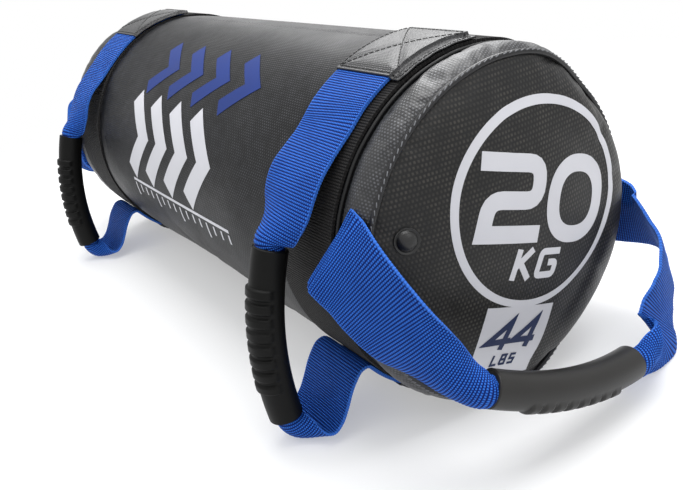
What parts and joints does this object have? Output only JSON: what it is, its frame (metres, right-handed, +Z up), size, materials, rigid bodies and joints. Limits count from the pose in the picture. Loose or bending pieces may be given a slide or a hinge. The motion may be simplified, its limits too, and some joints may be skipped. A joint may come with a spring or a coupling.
{
  "type": "weighted training bag",
  "caption": "Sand-filled cylindrical training bag lying on its side, with webbing handles and rubber grips on its front, both ends and its back.",
  "frame": {"origin": "on the floor under the middle of the bag, on the flat that it lies on", "axes": "+X along the bag to its right end, -Y to the front with the upright front handles, +Z up"},
  "size_m": [0.6614, 0.2966, 0.2118],
  "materials": {
    "cover_vinyl": "satin",
    "seam_binding": "matte",
    "band_webbing": "matte",
    "handle_webbing": "matte",
    "grip_rubber": "matte",
    "vent_plastic": "gloss",
    "washer_metal": "satin",
    "foam": "matte",
    "liner": "satin",
    "sand_pouch": "matte"
  },
  "bodies": {
    "bag": {"barrel_cover": "cover_vinyl", "collar_left": "cover_vinyl", "collar_right": "cover_vinyl", "end_panel_left": "cover_vinyl", "end_panel_right": "cover_vinyl", "edge_seam_left": "seam_binding", "edge_seam_right": "seam_binding", "piping_left": "seam_binding", "piping_right": "seam_binding", "band_left": "band_webbing", "band_right": "band_webbing", "upper_patch_left": "cover_vinyl", "upper_patch_right": "cover_vinyl", "lower_patch_left": "cover_vinyl", "lower_patch_right": "cover_vinyl", "front_strap_ends_left": "handle_webbing", "front_strap_ends_right": "handle_webbing", "end_strap_ends_left": "handle_webbing", "end_strap_ends_right": "handle_webbing", "carry_strap_ends_left": "handle_webbing", "carry_strap_ends_right": "handle_webbing", "vent_cap_left": "vent_plastic", "vent_cap_right": "vent_plastic", "vent_washer_left": "washer_metal", "vent_washer_right": "washer_metal", "foam_sleeve": "foam", "end_pad_left": "foam", "end_pad_right": "foam", "inner_bag": "liner", "sand_pouch_1": "sand_pouch", "sand_pouch_2": "sand_pouch", "sand_pouch_3": "sand_pouch", "sand_pouch_4": "sand_pouch"},
    "front_handle_left": {"front_strap_left": "handle_webbing", "front_grip_left": "grip_rubber"},
    "end_handle_left": {"end_strap_left": "handle_webbing", "end_grip_left": "grip_rubber"},
    "carry_handle_left": {"carry_strap_left": "handle_webbing", "carry_grip_left": "grip_rubber"},
    "front_handle_right": {"front_strap_right": "handle_webbing", "front_grip_right": "grip_rubber"},
    "end_handle_right": {"end_strap_right": "handle_webbing", "end_grip_right": "grip_rubber"},
    "carry_handle_right": {"carry_strap_right": "handle_webbing", "carry_grip_right": "grip_rubber"}
  },
  "joints": [
    {"name": "front_handle_turn_right", "type": "hinge", "parent": "bag", "child": "front_handle_right", "pos_m": [0.2, -0.08127, 0.09389], "axis": [0, -0.0871, 0.9962], "range_deg": [-25, 25]},
    {"name": "end_handle_swing_right", "type": "hinge", "parent": "bag", "child": "end_handle_right", "pos_m": [0.25, 0, 0.101], "axis": [0, -0.9613, 0.2756], "range_deg": [-8, 110]},
    {"name": "carry_handle_swing_right", "type": "hinge", "parent": "bag", "child": "carry_handle_right", "pos_m": [0.0865, 0.1034, 0.0771], "axis": [1, 0, 0], "range_deg": [-25, 85]},
    {"name": "front_handle_turn_left", "type": "hinge", "parent": "bag", "child": "front_handle_left", "pos_m": [-0.2, -0.08127, 0.09389], "axis": [0, -0.0871, 0.9962], "range_deg": [-25, 25]},
    {"name": "end_handle_swing_left", "type": "hinge", "parent": "bag", "child": "end_handle_left", "pos_m": [-0.25, 0, 0.101], "axis": [0, 0.9613, -0.2756], "range_deg": [-8, 110]},
    {"name": "carry_handle_swing_left", "type": "hinge", "parent": "bag", "child": "carry_handle_left", "pos_m": [-0.0865, 0.1034, 0.0771], "axis": [1, 0, 0], "range_deg": [-25, 85]}
  ]
}
